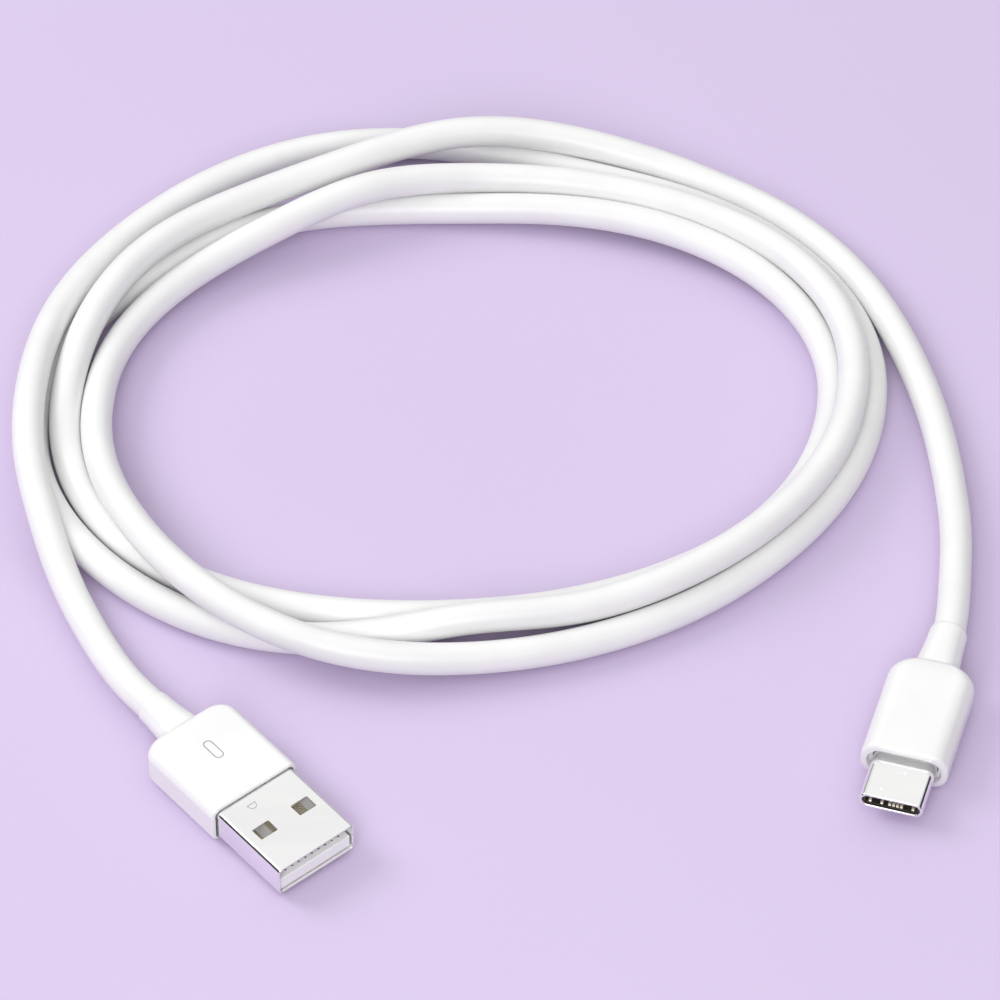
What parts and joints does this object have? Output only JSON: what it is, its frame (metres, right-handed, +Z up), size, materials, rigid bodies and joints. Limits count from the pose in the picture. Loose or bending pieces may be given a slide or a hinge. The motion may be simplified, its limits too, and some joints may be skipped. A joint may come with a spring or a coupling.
{
  "type": "charging cable",
  "caption": "Charging cable: a rectangular USB-A plug and a small oval USB-C plug joined by a round white cord, laid out in a flat oval coil.",
  "frame": {"origin": "on the surface it lies on, under the middle of the box round the two plugs", "axes": "+X from the USB-A plug towards the USB-C plug, +Y away from the plugs towards the coil, +Z up"},
  "size_m": [0.1254, 0.1357, 0.009],
  "materials": {
    "white_gloss": "glossy white moulded shell",
    "white_jacket": "smooth satin white thermoplastic elastomer jacket",
    "natural_moulding": "natural polyethylene pre-moulding",
    "polished_steel": "bright polished nickel-plated steel",
    "tinned_steel": "tinned or stamped steel",
    "white_insulator": "white glass-filled plastic",
    "black_insulator": "black liquid crystal polymer",
    "gold_contact": "gold-plated copper alloy",
    "green_board": "green solder mask",
    "resistor_body": "black glazed chip body",
    "wire_red": "red wire insulation",
    "wire_white": "white wire insulation",
    "wire_green": "green wire insulation",
    "wire_black": "black wire insulation"
  },
  "bodies": {
    "cable": {"usb_a_housing": "white_gloss", "usb_a_strain_relief": "white_gloss", "usb_c_housing": "white_gloss", "usb_c_strain_relief": "white_gloss", "cord_coil": "white_jacket", "cord_end_usb_a": "white_jacket", "cord_end_usb_c": "white_jacket", "usb_a_inner_mould": "natural_moulding", "usb_c_inner_mould": "natural_moulding", "usb_a_shell": "polished_steel", "usb_c_shell": "polished_steel", "usb_a_rear_can": "tinned_steel", "usb_c_rear_can": "tinned_steel", "usb_c_mid_plate": "tinned_steel", "usb_a_insulator": "white_insulator", "usb_a_insulator_cap": "white_insulator", "usb_c_contact_carrier": "black_insulator", "usb_a_contact_vbus": "gold_contact", "usb_a_contact_d_minus": "gold_contact", "usb_a_contact_d_plus": "gold_contact", "usb_a_contact_gnd": "gold_contact", "usb_c_contact_a1": "gold_contact", "usb_c_contact_a4": "gold_contact", "usb_c_contact_a5": "gold_contact", "usb_c_contact_a6": "gold_contact", "usb_c_contact_a7": "gold_contact", "usb_c_contact_a9": "gold_contact", "usb_c_contact_a12": "gold_contact", "usb_c_contact_b1": "gold_contact", "usb_c_contact_b4": "gold_contact", "usb_c_contact_b9": "gold_contact", "usb_c_contact_b12": "gold_contact", "usb_c_circuit_board": "green_board", "usb_c_pull_up_resistor": "resistor_body", "usb_a_wire_red": "wire_red", "usb_c_wire_red": "wire_red", "usb_a_wire_white": "wire_white", "usb_c_wire_white": "wire_white", "usb_a_wire_green": "wire_green", "usb_c_wire_green": "wire_green", "usb_a_wire_black": "wire_black", "usb_c_wire_black": "wire_black"},
    "latch_left": {"usb_c_latch_left": "tinned_steel"},
    "latch_right": {"usb_c_latch_right": "tinned_steel"}
  },
  "joints": [
    {"name": "usb_c_latch_left_flex", "type": "hinge", "parent": "cable", "child": "latch_left", "pos_m": [0.04695, -0.00059, 0.0029], "axis": [0, 0, 1], "range_deg": [0, 1.4], "stiffness_Nm_per_rad": 0.028},
    {"name": "usb_c_latch_right_flex", "type": "hinge", "parent": "cable", "child": "latch_right", "pos_m": [0.04115, 0.00116, 0.0029], "axis": [0, 0, -1], "range_deg": [0, 1.4], "stiffness_Nm_per_rad": 0.028}
  ]
}
